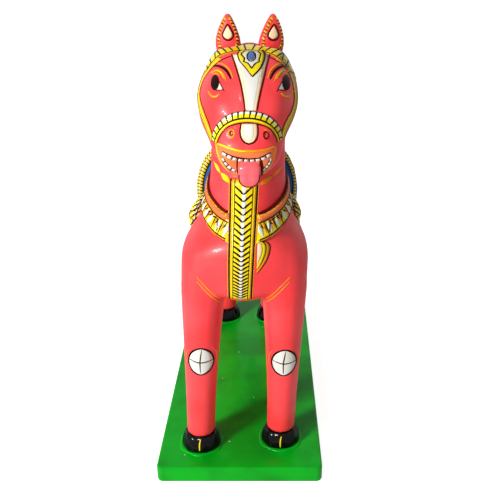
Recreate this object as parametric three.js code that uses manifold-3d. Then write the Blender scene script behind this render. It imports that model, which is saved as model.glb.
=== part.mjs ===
// A painted wooden toy horse on a plinth board, in millimetres, +Z up, facing -Y.
// The origin is the centre of the board's underside. The trunk, neck and head are carved blocks
// joined by dowels. The legs are pegs that stand through hoof blocks in the board.
import * as THREE from "three";
import { mergeVertices } from "three/addons/utils/BufferGeometryUtils.js";
import Module from "manifold-3d";

const wasm = await Module();
wasm.setup();

// ---- Driving dimensions -------------------------------------------------------------------
const BOARD = { width: 112, length: 250, thickness: 12, corner: 3, edge: 1.2 };

const GAP = 0.3; // glue gap between neighbouring pieces
const LEAN = 0.032; // the horse leans this far to its left for each millimetre of height

const LEG_TOP = 116; // height of the leg joint above the board
const LEG_TENON = { radius: 6, reach: 20 };
const FOOT_TENON = { radius: 5, depth: 6 };
const HOOF = { radius: 13.5, topRadius: 11, height: 11 };
const FRONT_FOOT = { x: 27.8, y: -98 };
const HIND_FOOT = { x: 21.5, y: 86 };
const LEFT_FRONT_STEP = 5; // the left front foot stands this far behind the right one

const NAIL = { radius: 1.2, headRadius: 3, headHeight: 1.4, grip: 16, recess: 0.2 };
const NECK_DOWEL = { radius: 5, reach: 18 };
const HEAD_DOWEL = { radius: 4, reach: 13 };
const SADDLE_PEG = { radius: 3, reach: 9, front: -16, rear: 8 };

const BACK_HEIGHT = 166; // top of the trunk behind the neck, above the board
const CLOTH = { thickness: 1.6, front: -52, rear: 50, hem: 122 };
const COLLAR = { thickness: 1.6, width: 15 };
const EAR = { x: 12.3, y: -68, z: 260.6, splay: 0.05, turn: 0.3 };

// ---- Carved forms -------------------------------------------------------------------------
// Each ring is [x, y, height above the board, half width, half depth].
const TRUNK_RINGS = [
  [0, -110, 133, 12, 10],
  [0, -106.5, 133.5, 30, 18],
  [0, -98.5, 136, 38.6, 23.5],
  [0, -86, 138, 41.7, 28],
  [0, -68, 139, 41, 30],
  [0, -45, 139, 36.5, 27],
  [0, -15, 138, 34.5, 28],
  [0, 15, 138, 35, 28],
  [0, 45, 139, 37, 30],
  [0, 70, 140, 38, 32],
  [0, 88, 139, 35, 31],
  [0, 100, 138, 26, 25],
  [0, 108, 137, 10, 10],
];
const NECK_RINGS = [
  [0, -63, 126, 30, 36],
  [0, -69, 145, 33.5, 36],
  [0, -72, 163, 30.5, 30.5],
  [0, -73, 180, 26.5, 26],
  [0, -71, 198, 25, 23.5],
  [0, -67, 216, 23, 21.5],
  [0, -62, 234, 20, 20],
  [0, -59, 250, 16, 16],
  [0, -58, 260, 7, 7],
];
// The muzzle turns a little to the horse's left.
const HEAD_RINGS = [
  [0, -60, 264, 7, 6],
  [0, -67, 256, 22, 14.5],
  [0, -76, 246.5, 26.6, 21],
  [0, -86.5, 236.5, 28.2, 23.7],
  [0.6, -96, 228.5, 25, 22.4],
  [1, -104.5, 221, 20.6, 19.4],
  [1.4, -110.6, 214.8, 18.8, 16.6],
  [1.7, -114.6, 208.8, 17.4, 12.2],
  [1.9, -116.6, 203.2, 13, 7.2],
  [2, -117.6, 199.6, 6, 3.2],
];
const FRONT_LEG_RINGS = [
  [25, -86, 150, 8.5, 12],
  [25.6, -87, 140, 15.7, 20.5],
  [26, -91, 122, 14.7, 17],
  [26.4, -94.5, 104, 13.4, 14.2],
  [26.8, -96.5, 87, 12.2, 12.8],
  [27.1, -98, 70, 11.3, 11.8],
  [27.5, -98, 46, 10.2, 10.6],
  [FRONT_FOOT.x, FRONT_FOOT.y, 22, 9.7, 9.9],
  [FRONT_FOOT.x, FRONT_FOOT.y, HOOF.height - 2, 9.5, 9.7],
];
const HIND_LEG_RINGS = [
  [19.5, 71, 150, 9, 13],
  [21, 75, 140, 16.5, 24],
  [22, 81, 120, 15, 20],
  [22, 87.5, 101, 13.2, 15],
  [21.8, 91.5, 83, 11.6, 12.4],
  [21.6, 91, 62, 10.6, 11],
  [HIND_FOOT.x, 88, 36, 10, 10.3],
  [HIND_FOOT.x, HIND_FOOT.y, 20, 9.8, 10],
  [HIND_FOOT.x, HIND_FOOT.y, HOOF.height - 2, 9.5, 9.7],
];
const TAIL_RINGS = [
  [0, 97, 150, 3.6, 3.6],
  [0, 107, 149.5, 4, 4.2],
  [0, 114, 142, 5.4, 5.2],
  [0, 117, 128, 7, 6],
  [0, 117.5, 108, 8.2, 6.4],
  [0, 116, 88, 7.6, 5.8],
  [0, 114.5, 72, 5, 4],
  [0, 114, 63, 1.6, 1.4],
];
const MANE_RINGS = [
  [0, -63, 262, 2.4, 2.4],
  [0, -54, 262, 4.4, 4],
  [0, -46, 255, 5, 6],
  [0, -41.5, 240, 5.2, 6.5],
  [0, -43.5, 222, 5.2, 5.6],
  [0, -46, 210, 4.4, 4.2],
  [0, -47.5, 203, 2.6, 2],
];
const TONGUE_RINGS = [
  [2.6, -110, 213.4, 3.4, 1.2],
  [2.6, -117, 212.8, 5, 1.8],
  [2.6, -121.6, 209.4, 5.8, 2.2],
  [2.6, -122.6, 203.4, 6, 2.3],
  [2.6, -122.2, 198.8, 5.4, 2.1],
  [2.6, -121.4, 196.2, 2.8, 1.3],
];
// An ear's rings are measured from the root of the ear.
const EAR_RINGS = [
  [0, 1, -8, 2.6, 2.4],
  [0, 0.6, -1, 5.8, 3.6],
  [0, 0, 5, 7.2, 4],
  [0, -0.4, 10, 6.7, 3.7],
  [0, -0.2, 16, 4.5, 2.8],
  [0, 0.6, 21, 1.8, 1.6],
  [0, 0.9, 22.6, 0.5, 0.5],
];
// The saddle's rings stand across the back, so their half depth is half of their height.
const SADDLE_RINGS = [
  [0, -38, 168, 33.6, 37.4],
  [0, -36, 168, 34.6, 38.6],
  [0, -31.5, 168, 34.2, 38],
  [0, -28, 167, 31, 32],
  [0, -20, 163, 25, 20],
  [0, -4, 162, 22, 15.5],
  [0, 8, 162, 24, 18],
  [0, 18, 164, 29, 26],
  [0, 23, 165, 30.6, 29],
  [0, 27, 165, 29.6, 28],
];

// A joint face passes through a height above the board at y and looks along its direction.
// The breast collar runs round the neck joint and hides it.
const NECK_JOINT = { y: -72, z: 176.5, direction: new THREE.Vector3(0, -0.395, 0.919) };
const HEAD_JOINT = { y: -74.6, z: 242, direction: new THREE.Vector3(0, -0.9, 0.4357) };
const UP = new THREE.Vector3(0, 0, 1);

// ---- Finishes -----------------------------------------------------------------------------
function finish(colour, roughness, metalness = 0) {
  return new THREE.MeshStandardMaterial({ color: colour, roughness, metalness });
}
const redEnamel = finish("#e8423d", 0.25);
const greenEnamel = finish("#0b9a26", 0.25);
const blackEnamel = finish("#141414", 0.15);
const blueEnamel = finish("#3f62b4", 0.3);
const yellowEnamel = finish("#f2cf1d", 0.3);
const pinkEnamel = finish("#e8616b", 0.25);
const bareWood = finish("#c9a877", 0.8);
const steel = finish("#8d8f92", 0.4, 0.9);

// ---- Solid tools --------------------------------------------------------------------------
// Heights in the horse's own dimensions start at the board's top, where the lean is nothing.
const standing = new THREE.Matrix4().set(
  1, 0, LEAN, 0,
  0, 1, 0, 0,
  0, 0, 1, BOARD.thickness,
  0, 0, 0, 1,
);

function boardSolid(geometry) {
  const bare = geometry.clone();
  bare.deleteAttribute("normal");
  bare.deleteAttribute("uv");
  const merged = mergeVertices(bare, 1e-4);
  const vertProperties = new Float32Array(merged.attributes.position.array);
  const triVerts = new Uint32Array(merged.index.array);
  return new wasm.Manifold(new wasm.Mesh({ numProp: 3, vertProperties, triVerts }));
}

function solidOf(geometry) {
  return boardSolid(geometry.applyMatrix4(standing));
}

function geometryOf(solid) {
  const { vertProperties, triVerts } = solid.getMesh();
  const geometry = new THREE.BufferGeometry();
  geometry.setAttribute("position", new THREE.BufferAttribute(vertProperties, 3));
  geometry.setIndex(new THREE.BufferAttribute(triVerts, 1));
  geometry.computeVertexNormals();
  return geometry;
}

function joined(...solids) {
  return solids.reduce((whole, solid) => whole.add(solid));
}

// The surface over oval rings. They stand square to the line through their centres, or
// across the horse where upright is set.
function skinGeometry(rings, { sides, perRing = 1.35, grow = 0, upright = false }) {
  const along = Math.round((rings.length - 1) * perRing);
  const spine = new THREE.CatmullRomCurve3(rings.map(([x, y, z]) => new THREE.Vector3(x, y, z)));
  const sizes = new THREE.SplineCurve(rings.map((ring) => new THREE.Vector2(ring[3], ring[4])));
  const geometry = new THREE.CylinderGeometry(1, 1, 1, sides, along);
  const places = geometry.attributes.position;
  const across = new THREE.Vector3(1, 0, 0);
  for (let i = 0; i < places.count; i++) {
    const t = 0.5 - places.getY(i);
    const size = sizes.getPoint(t);
    const heading = upright ? new THREE.Vector3(0, 1, 0) : spine.getTangent(t);
    const end = t < 0.001 ? -1 : Number(t > 0.999);
    const point = spine.getPoint(t).addScaledVector(heading, grow * end);
    const depth = heading.cross(across).normalize();
    point.addScaledVector(across, places.getX(i) * (size.x + grow));
    point.addScaledVector(depth, places.getZ(i) * (size.y + grow));
    places.setXYZ(i, point.x, point.y, point.z);
  }
  return geometry;
}

function skin(rings, options) {
  return solidOf(skinGeometry(rings, options));
}

// Everything in front of a joint face, starting at a distance of shift from it.
function beyond({ y, z, direction }, shift = 0) {
  const side = 600;
  const turn = new THREE.Quaternion().setFromUnitVectors(UP, direction.clone().normalize());
  const half = new THREE.BoxGeometry(side, side, side).translate(0, 0, side / 2 + shift);
  return solidOf(half.applyQuaternion(turn).translate(0, y, z));
}

function above(height, shift = 0) {
  return beyond({ y: 0, z: height, direction: UP }, shift);
}

// A round peg along +Z between two heights above the board.
function uprightPeg(radius, bottom, top, x, y, sides = 14) {
  const peg = new THREE.CylinderGeometry(radius, radius, top - bottom, sides);
  return solidOf(peg.rotateX(Math.PI / 2).translate(x, y, (top + bottom) / 2));
}

// A round peg centred on a joint face and square to it.
function jointPeg(joint, { radius, reach }, clearance = 0) {
  const length = 2 * (reach + clearance);
  const peg = new THREE.CylinderGeometry(radius + clearance, radius + clearance, length, 16);
  const turn = new THREE.Quaternion().setFromUnitVectors(UP, joint.direction.clone().normalize());
  peg.rotateX(Math.PI / 2).applyQuaternion(turn);
  return solidOf(peg.translate(0, joint.y, joint.z));
}

// ---- The assembly -------------------------------------------------------------------------
const horseOnBoard = new THREE.Group();

function place(name, solid, material) {
  const mesh = new THREE.Mesh(geometryOf(solid), material);
  mesh.name = name;
  horseOnBoard.add(mesh);
}

// ---- Legs, hooves and nails ---------------------------------------------------------------
// The horse faces -Y, so its left legs stand at +X.
function legRings(rings, side, step) {
  return rings.map(([x, y, z, ...size]) => {
    const lowered = Math.min(1, Math.max(0, 1 - z / LEG_TOP));
    return [side * x, y + step * lowered, z, ...size];
  });
}

const legs = [
  { name: "front_left", rings: legRings(FRONT_LEG_RINGS, 1, LEFT_FRONT_STEP) },
  { name: "front_right", rings: legRings(FRONT_LEG_RINGS, -1, 0) },
  { name: "hind_left", rings: legRings(HIND_LEG_RINGS, 1, 0) },
  { name: "hind_right", rings: legRings(HIND_LEG_RINGS, -1, 0) },
];
for (const leg of legs) {
  [leg.x, leg.y] = leg.rings.at(-1);
  [leg.topX, leg.topY] = leg.rings[2];
}

const LEG_FACETS = { sides: 16, perRing: 1.25 };
const socketFloor = -FOOT_TENON.depth;
const legForm = (leg, grow = 0) => skin(leg.rings, { ...LEG_FACETS, grow });

function legTenon(leg, clearance = 0) {
  const end = LEG_TOP + LEG_TENON.reach + clearance;
  return uprightPeg(LEG_TENON.radius + clearance, LEG_TOP - 8, end, leg.topX, leg.topY);
}

function footTenon(leg, clearance = 0) {
  const radius = FOOT_TENON.radius + clearance;
  return uprightPeg(radius, socketFloor - clearance, HOOF.height + 1, leg.x, leg.y);
}

// A nail is punched just below the underside. Its clearance is the hole that it lies in.
function nail(leg, clearance = 0) {
  const { radius, headRadius, headHeight, grip, recess } = NAIL;
  const base = recess - BOARD.thickness - 2 * clearance;
  const headTop = recess + headHeight - BOARD.thickness + clearance;
  const tip = socketFloor + grip + clearance;
  const shank = uprightPeg(radius + clearance, base, tip, leg.x, leg.y, 8);
  return shank.add(uprightPeg(headRadius + clearance, base, headTop, leg.x, leg.y));
}

function legSolid(leg) {
  return legForm(leg)
    .subtract(above(LEG_TOP, -GAP))
    .intersect(above(HOOF.height, GAP))
    .add(legTenon(leg))
    .add(footTenon(leg))
    .subtract(nail(leg, GAP));
}

function hoofSolid(leg) {
  const profile = [
    [0, 0],
    [HOOF.radius - 0.8, 0],
    [HOOF.radius, 1.2],
    [HOOF.radius - 0.2, 4.5],
    [HOOF.topRadius + 1.2, HOOF.height - 1.6],
    [HOOF.topRadius, HOOF.height],
    [0, HOOF.height],
  ].map(([radius, height]) => new THREE.Vector2(radius, height));
  const turned = new THREE.LatheGeometry(profile, 22).rotateX(Math.PI / 2);
  return solidOf(turned.translate(leg.x, leg.y, 0)).subtract(footTenon(leg, GAP));
}

for (const leg of legs) {
  place(`leg_${leg.name}`, legSolid(leg), redEnamel);
  place(`hoof_${leg.name}`, hoofSolid(leg), blackEnamel);
  place(`nail_${leg.name}`, nail(leg), steel);
}

// ---- Plinth board -------------------------------------------------------------------------
function boardOutline() {
  const { width, length, corner, edge } = BOARD;
  const x = width / 2 - edge - corner;
  const y = length / 2 - edge - corner;
  const quarter = Math.PI / 2;
  const outline = new THREE.Shape();
  outline.absarc(x, y, corner, 0, quarter);
  outline.absarc(-x, y, corner, quarter, 2 * quarter);
  outline.absarc(-x, -y, corner, 2 * quarter, 3 * quarter);
  outline.absarc(x, -y, corner, 3 * quarter, 4 * quarter);
  return outline;
}

function plinthBoard() {
  const sheet = new THREE.ExtrudeGeometry(boardOutline(), {
    depth: BOARD.thickness - 2 * BOARD.edge,
    bevelThickness: BOARD.edge,
    bevelSize: BOARD.edge,
    bevelSegments: 2,
    curveSegments: 4,
  });
  const sockets = legs.map((leg) => footTenon(leg, GAP).add(nail(leg, GAP)));
  return boardSolid(sheet.translate(0, 0, BOARD.edge)).subtract(joined(...sockets));
}

place("plinth_board", plinthBoard(), greenEnamel);

// ---- Trunk, neck and head -----------------------------------------------------------------
const trunkForm = (grow = 0) => skin(TRUNK_RINGS, { sides: 24, grow });
const neckForm = (grow = 0) => skin(NECK_RINGS, { sides: 20, grow });
const headForm = (grow = 0) => skin(HEAD_RINGS, { sides: 22, grow });
const tailForm = (grow = 0) => skin(TAIL_RINGS, { sides: 12, grow });
const tongueForm = (grow = 0) => skin(TONGUE_RINGS, { sides: 14, grow });
const maneForm = () => skin(MANE_RINGS, { sides: 10 });

function bodyForm(grow = 0) {
  const shoulders = legs.map((leg) => legForm(leg, grow).intersect(above(LEG_TOP)));
  return joined(trunkForm(grow), neckForm(grow), ...shoulders);
}

// An ear leans outwards and turns its hollow face outwards too.
function earForm(side, grow = 0) {
  const ear = skinGeometry(EAR_RINGS, { sides: 12, grow });
  ear.rotateZ(side * EAR.turn).rotateY(side * EAR.splay);
  return solidOf(ear.translate(side * EAR.x, EAR.y, EAR.z));
}

function saddlePeg(y, clearance = 0) {
  const seat = BACK_HEIGHT + CLOTH.thickness;
  const { radius, reach } = SADDLE_PEG;
  return uprightPeg(radius + clearance, seat - reach - clearance, seat + 5 + clearance, 0, y, 14);
}

function saddlePegHoles() {
  return saddlePeg(SADDLE_PEG.front, GAP).add(saddlePeg(SADDLE_PEG.rear, GAP));
}

function trunkSolid() {
  const housings = legs.map((leg) => legForm(leg, GAP).subtract(above(LEG_TOP)));
  return bodyForm()
    .subtract(joined(...housings))
    .subtract(beyond(NECK_JOINT))
    .subtract(joined(...legs.map((leg) => legTenon(leg, GAP))))
    .subtract(jointPeg(NECK_JOINT, NECK_DOWEL, GAP))
    .subtract(saddlePegHoles())
    .subtract(tailForm(GAP));
}

const ears = (grow = 0) => earForm(1, grow).add(earForm(-1, grow));

function neckSolid() {
  return joined(bodyForm(), headForm(), maneForm())
    .intersect(beyond(NECK_JOINT, GAP))
    .subtract(beyond(HEAD_JOINT))
    .subtract(jointPeg(NECK_JOINT, NECK_DOWEL, GAP))
    .subtract(jointPeg(HEAD_JOINT, HEAD_DOWEL, GAP))
    .subtract(ears(GAP));
}

function headSolid() {
  return joined(headForm(), maneForm())
    .intersect(beyond(HEAD_JOINT, GAP))
    .subtract(jointPeg(HEAD_JOINT, HEAD_DOWEL, GAP))
    .subtract(ears(GAP))
    .subtract(tongueForm(GAP));
}

place("trunk", trunkSolid(), redEnamel);
place("neck", neckSolid(), redEnamel);
place("head", headSolid(), redEnamel);
place("ear_left", earForm(1), redEnamel);
place("ear_right", earForm(-1), redEnamel);
place("tongue", tongueForm(), pinkEnamel);
place("tail", tailForm(), blackEnamel);
place("neck_dowel", jointPeg(NECK_JOINT, NECK_DOWEL), bareWood);
place("head_dowel", jointPeg(HEAD_JOINT, HEAD_DOWEL), bareWood);

// ---- Harness ------------------------------------------------------------------------------
// What lies on the body also keeps its gap from the legs and their tenons.
function bareHorse() {
  const legsAlone = legs.flatMap((leg) => [legForm(leg, GAP), legTenon(leg, GAP)]);
  return joined(bodyForm(GAP), ...legsAlone);
}

function collar() {
  const outer = GAP + COLLAR.thickness;
  const half = COLLAR.width / 2;
  return bodyForm(outer)
    .subtract(bareHorse())
    .intersect(beyond(NECK_JOINT, -half))
    .subtract(beyond(NECK_JOINT, half));
}

function saddleCloth() {
  const behindFront = { y: CLOTH.front, z: 0, direction: new THREE.Vector3(0, 1, 0) };
  const behindRear = { ...behindFront, y: CLOTH.rear };
  return trunkForm(GAP + CLOTH.thickness)
    .subtract(bareHorse())
    .intersect(above(CLOTH.hem))
    .intersect(beyond(behindFront))
    .subtract(beyond(behindRear))
    .subtract(saddlePegHoles());
}

function saddle() {
  return skin(SADDLE_RINGS, { sides: 26, perRing: 1.8, upright: true })
    .subtract(trunkForm(CLOTH.thickness + 2 * GAP))
    .subtract(saddlePegHoles())
    .intersect(above(BACK_HEIGHT - 18));
}

place("breast_collar", collar(), yellowEnamel);
place("saddle_cloth", saddleCloth(), blueEnamel);
place("saddle", saddle(), yellowEnamel);
place("saddle_peg_front", saddlePeg(SADDLE_PEG.front), bareWood);
place("saddle_peg_rear", saddlePeg(SADDLE_PEG.rear), bareWood);

export default horseOnBoard;
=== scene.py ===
# A painted wooden toy horse on a green board. The carved wood comes from the frame; its finer
# carving, the enamel and the brushwork are made here. Sizes are in millimetres.
import math

import bmesh
import bpy
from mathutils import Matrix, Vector
from mathutils.bvhtree import BVHTree


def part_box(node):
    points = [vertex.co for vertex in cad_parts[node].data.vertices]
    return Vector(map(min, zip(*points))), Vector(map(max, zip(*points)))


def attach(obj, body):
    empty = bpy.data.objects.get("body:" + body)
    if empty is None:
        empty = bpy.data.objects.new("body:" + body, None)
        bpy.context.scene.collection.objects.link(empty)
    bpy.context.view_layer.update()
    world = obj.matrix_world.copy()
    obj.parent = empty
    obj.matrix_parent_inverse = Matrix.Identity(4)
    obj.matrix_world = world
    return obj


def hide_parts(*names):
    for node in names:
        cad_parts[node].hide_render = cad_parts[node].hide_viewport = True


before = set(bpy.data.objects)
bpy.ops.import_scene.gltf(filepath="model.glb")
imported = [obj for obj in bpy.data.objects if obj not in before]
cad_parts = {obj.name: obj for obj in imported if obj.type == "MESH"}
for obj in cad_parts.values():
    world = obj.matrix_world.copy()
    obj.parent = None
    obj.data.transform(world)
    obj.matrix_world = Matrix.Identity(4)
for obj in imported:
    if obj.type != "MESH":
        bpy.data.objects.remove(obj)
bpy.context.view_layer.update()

MM = 0.001
BOARD_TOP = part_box("plinth_board")[1].z / MM
LEAN = 0.032  # the horse leans this far to its left for each millimetre of height
FACE_TURN = 0.043  # the face's middle line moves this far to its left for each millimetre down
BROW_HEIGHT = 264
BODY = "root"

# The front of the horse is laid out on an upright sheet at y = -100. Each place on the sheet is
# carried to the wood along a line that drops as it goes back.
SHEET_Y = -100
SHEET_DROP = 0.152
INTO_WOOD = Vector((0, 1, -SHEET_DROP)).normalized()

STEP = 1.2  # distance between the rows of a brush stroke
CURVE_PARTS = 8  # straight parts between two points of a smooth line
SUNK = 0.45  # how far the enamel reaches under its surface
FIELD, BAND, LINE, TICK = 0.14, 0.2, 0.28, 0.36  # heights of the layers of brushwork


# ---- Places
def at(x, y, z):
    """A place on the horse, with x from its middle plane and z from the board's top."""
    return Vector((x + LEAN * z, y, z + BOARD_TOP)) * MM


def laid_out(place):
    """The x, y and z that at() was given."""
    x, y, z = place / MM
    z -= BOARD_TOP
    return x - LEAN * z, y, z


def turned(z):
    """How far the middle line of the face stands to the left at a height."""
    return FACE_TURN * (BROW_HEIGHT - z)


def share(value, span):
    """How much of a span a value has covered, from 0 to 1."""
    return min(1, max(0, value / span))


def curve(points, step=STEP, closed=False):
    """Even places on a smooth line through some points."""
    points = [Vector(point) for point in points]
    last = len(points) - 1
    if closed:
        before, after, spans = points[-1:], points[:2], range(last + 1)
    else:
        before = [points[0] * 2 - points[1]]
        after = [points[-1] * 2 - points[-2]]
        spans = range(last)
    chain = before + points + after
    fine = []
    for index in spans:
        a, b, c, d = chain[index:index + 4]
        for part in range(CURVE_PARTS):
            t = part / CURVE_PARTS
            fine.append(0.5 * (2 * b + (c - a) * t + (2 * a - 5 * b + 4 * c - d) * t * t
                               + (3 * b - a - 3 * c + d) * t ** 3))
    fine.append(points[0] if closed else points[-1])
    lengths = [0]
    for first, second in zip(fine, fine[1:]):
        lengths.append(lengths[-1] + (second - first).length)
    count = max(2, round(lengths[-1] / step))
    return [sample(fine, lengths, lengths[-1] * index / count) for index in range(count + 1)]


def sample(fine, lengths, distance):
    """The place at a distance along a line, given the length up to each of its points."""
    for index in range(1, len(fine)):
        if lengths[index] >= distance or index == len(fine) - 1:
            span = lengths[index] - lengths[index - 1] or 1
            return fine[index - 1].lerp(fine[index], (distance - lengths[index - 1]) / span)


def along(points, part):
    """The place a part of the way along a list of even places."""
    position = share(part, 1) * (len(points) - 1)
    index = min(int(position), len(points) - 2)
    return points[index].lerp(points[index + 1], position - index)


# ---- Meshes
def add(name, data):
    """A new object in the scene."""
    made = bpy.data.objects.new(name, data)
    bpy.context.collection.objects.link(made)
    return made


def as_mesh(name, bm):
    """Turns bm into a mesh and frees it."""
    mesh = bpy.data.meshes.new(name)
    bm.to_mesh(mesh)
    bm.free()
    return mesh


def node_copy(*names):
    """The solids of some nodes as one mesh with its points merged."""
    bm = bmesh.new()
    for name in names:
        part = bmesh.new()
        part.from_mesh(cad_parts[name].data)
        bmesh.ops.remove_doubles(part, verts=part.verts, dist=0.002 * MM)
        join(bm, part)
    return bm


def join(bm, part):
    """Adds a mesh to bm and frees it."""
    mesh = as_mesh("part", part)
    bm.from_mesh(mesh)
    bpy.data.meshes.remove(mesh)


def inflate(bm, distance, verts=None, rise=lambda x, y, z: 1):
    """Moves some points or the whole skin outwards, as far as a rise at each place says."""
    bm.normal_update()
    for vert, normal in [(v, v.normal.copy()) for v in verts or bm.verts]:
        vert.co += normal * distance * rise(*laid_out(vert.co)) * MM


def remeshed(bm, voxel):
    """One skin of even quads over everything in bm."""
    mesh = as_mesh("rough", bm)
    rough = add("rough", mesh)
    remesh = rough.modifiers.new("skin", "REMESH")
    remesh.mode = "VOXEL"
    remesh.voxel_size = voxel * MM
    graph = bpy.context.evaluated_depsgraph_get()
    skin = bmesh.new()
    skin.from_mesh(rough.evaluated_get(graph).to_mesh())
    bpy.data.objects.remove(rough)
    bpy.data.meshes.remove(mesh)
    keep_largest(skin)
    return skin


def islands(bm):
    """Each connected group of points."""
    unseen = set(bm.verts)
    while unseen:
        start = unseen.pop()
        found, edge = [start], [start]
        while edge:
            reached = []
            for vert in edge:
                for link in vert.link_edges:
                    other = link.other_vert(vert)
                    if other in unseen:
                        unseen.discard(other)
                        reached.append(other)
            found += reached
            edge = reached
        yield found


def keep_largest(bm):
    groups = sorted(islands(bm), key=len)
    loose = [vert for group in groups[:-1] for vert in group]
    bmesh.ops.delete(bm, geom=loose, context="VERTS")


SORT_AXIS = Vector((1, 7.3, 53.9))  # slanted, so that no two faces lie at the same place on it


def in_order(bm):
    """Sorts the faces, which doubled() leaves in a different order on each run.

    What is painted on them would differ a little with their order."""
    bm.faces.sort(key=lambda face: face.calc_center_median().dot(SORT_AXIS))
    return bm


def doubled(bm):
    """Makes a closed skin of a sheet, and returns the points of its under side."""
    made = bmesh.ops.extrude_face_region(bm, geom=bm.faces[:], use_keep_orig=True)
    upper = {part for part in made["geom"] if isinstance(part, bmesh.types.BMVert)}
    return [vert for vert in bm.verts if vert not in upper]


def cut(bm, place, direction):
    """Keeps what lies behind a plane."""
    bmesh.ops.bisect_plane(bm, geom=bm.verts[:] + bm.edges[:] + bm.faces[:],
                           plane_co=place, plane_no=direction, clear_outer=True)


def smooth(bm, rounds, factors=(0.6, -0.61), verts=None):
    """Takes facets and ripples away. The first factors keep the volume."""
    for _ in range(rounds):
        for factor in factors:
            bmesh.ops.smooth_vert(bm, verts=verts or bm.verts, factor=factor,
                                  use_axis_x=True, use_axis_y=True, use_axis_z=True)


def piece(name, bm, material, slot, *nodes):
    """A finished piece in the scene, which stands for the nodes named."""
    mesh = as_mesh(name, bm)
    mesh.shade_smooth()
    mesh.materials.append(material)
    made = add(name, mesh)
    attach(made, BODY)
    if nodes:
        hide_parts(*nodes)


# ---- Brushwork
EIGHTHS = [math.pi * step / 8 for step in range(9)]  # angles from the top of an oval to its foot


class Surface:
    """Carved wood that can be painted on."""

    def __init__(self, bm):
        self.tree = BVHTree.FromBMesh(bm)

    def near(self, place):
        point, normal, _, _ = self.tree.find_nearest(place)
        return point, normal

    def cast(self, place, direction):
        reach = 150 * MM
        point = self.tree.ray_cast(place - direction * reach, direction)[0]
        return point or self.near(place)[0]

    def front(self, x, z):
        return self.cast(at(x, SHEET_Y, z), INTO_WOOD)

    def face(self, x, z):
        return self.front(x + turned(z), z)

    def side(self, way, y, z):
        """A place on the horse's left side (way 1) or right side (way -1)."""
        return self.cast(at(0, y, z), Vector((-way, 0, 0)))

    def top(self, x, y, z):
        return self.cast(at(x, y, z), Vector((0, 0, -1)))


class Brush:
    """Enamel brushwork of one colour on one surface."""

    def __init__(self, surface, layout=None):
        self.surface = surface
        self.layout = layout or surface.front
        self.bm = bmesh.new()

    def lay(self, rows, lift):
        """Lays a sheet of enamel through rows of places, cushioned towards its edges."""
        across = len(rows[0]) - 1
        grid = bmesh.ops.create_grid(self.bm, x_segments=len(rows) - 1, y_segments=across, size=1)
        verts = grid["verts"]
        for vert in verts:
            row = round((vert.co.x + 1) / 2 * (len(rows) - 1))
            place = round((vert.co.y + 1) / 2 * across)
            point, normal = self.surface.near(rows[row][place])
            rise = lift * (0.5 if place in (0, across) else 1)
            vert.co = point + normal * rise * MM
        faces = list(dict.fromkeys(face for vert in verts for face in vert.link_faces))
        widest = max(faces, key=lambda face: face.calc_area())
        widest.normal_update()
        if widest.normal.dot(self.surface.near(widest.calc_center_median())[1]) < 0:
            bmesh.ops.reverse_faces(self.bm, faces=faces)
        bmesh.ops.remove_doubles(self.bm, verts=verts, dist=0.01 * MM)

    def line(self, places, width, lift=LINE, offset=0, closed=False, across=2):
        """A stroke along places on the surface. Its width may change along it."""
        if not callable(width):
            steady = width
            width = lambda part: steady
        rows = []
        last = len(places) - 1
        for index, place in enumerate(places):
            ahead = places[1] if closed and index == last else places[min(index + 1, last)]
            behind = places[-2] if closed and index == 0 else places[max(index - 1, 0)]
            point, normal = self.surface.near(place)
            side = normal.cross(ahead - behind).normalized()
            wide = width(index / last)
            rows.append([point + side * (offset + wide * (step / across - 0.5)) * MM
                         for step in range(across + 1)])
        self.lay(rows, lift)

    def path(self, points, step=STEP, closed=False):
        """Places on the surface, along a smooth line through points of the layout."""
        return [self.layout(*point) for point in curve(points, step, closed)]

    def draw(self, points, width, lift=LINE, offset=0, closed=False, across=2):
        """A stroke through points of the layout."""
        self.line(self.path(points, STEP, closed), width, lift, offset, closed, across)

    def fill(self, left, right, lift=FIELD, across=6):
        """A field between two lines of the layout."""
        reach = max(len(curve(left)), len(curve(right)))
        left, right = curve(left, STEP / 2), curve(right, STEP / 2)
        rows = []
        for index in range(reach):
            part = index / (reach - 1)
            a, b = along(left, part), along(right, part)
            rows.append([self.layout(*a.lerp(b, step / across)) for step in range(across + 1)])
        self.lay(rows, lift)

    def spot(self, centre, wide, tall, lift=BAND):
        """An oval spot."""
        x, z = centre
        left, right = ([(x + way * wide / 2 * math.sin(turn), z + tall / 2 * math.cos(turn))
                        for turn in EIGHTHS] for way in (-1, 1))
        self.fill(left, right, lift)

    def done(self, name, material, slot):
        """Gives the sheets a thickness that reaches under the wood's surface."""
        for vert in doubled(self.bm):
            vert.co -= self.surface.near(vert.co)[1] * SUNK * MM
        piece(name, self.bm, material, slot)


class PaintBox:
    """One brush of each colour for one surface."""

    def __init__(self, name, surface, layout=None):
        self.name = name
        for colour in PAINTS:
            setattr(self, colour, Brush(surface, layout))

    def done(self):
        for colour, (material, slot) in PAINTS.items():
            brush = getattr(self, colour)
            if brush.bm.faces:
                brush.done(f"{self.name}_{colour}", material, slot)


def petal(width, full=0.5):
    """Widths of a stroke that starts and ends in a point."""
    power = math.log(0.5) / math.log(full)
    return lambda part: max(width * math.sin(math.pi * part ** power), 0.02)


def tapered(width, ends=0.35):
    """Widths of a stroke that thins towards its ends."""
    return lambda part: width * (ends + (1 - ends) * math.sin(math.pi * part) ** 0.6)


def fading(first, last):
    """Widths of a stroke that changes evenly from one width to another."""
    return lambda part: first + (last - first) * part


def oval(x, z, wide, tall):
    """Points round an oval, for a closed stroke."""
    return [(x + wide / 2 * math.sin(turn * 2), z + tall / 2 * math.cos(turn * 2))
            for turn in EIGHTHS[:-1]]


def mirrored(points, way, shift=0):
    """Points for the horse's left side (way 1) or right side (way -1), moved to the left."""
    return [(way * x + shift, z) for x, z in points]


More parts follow.
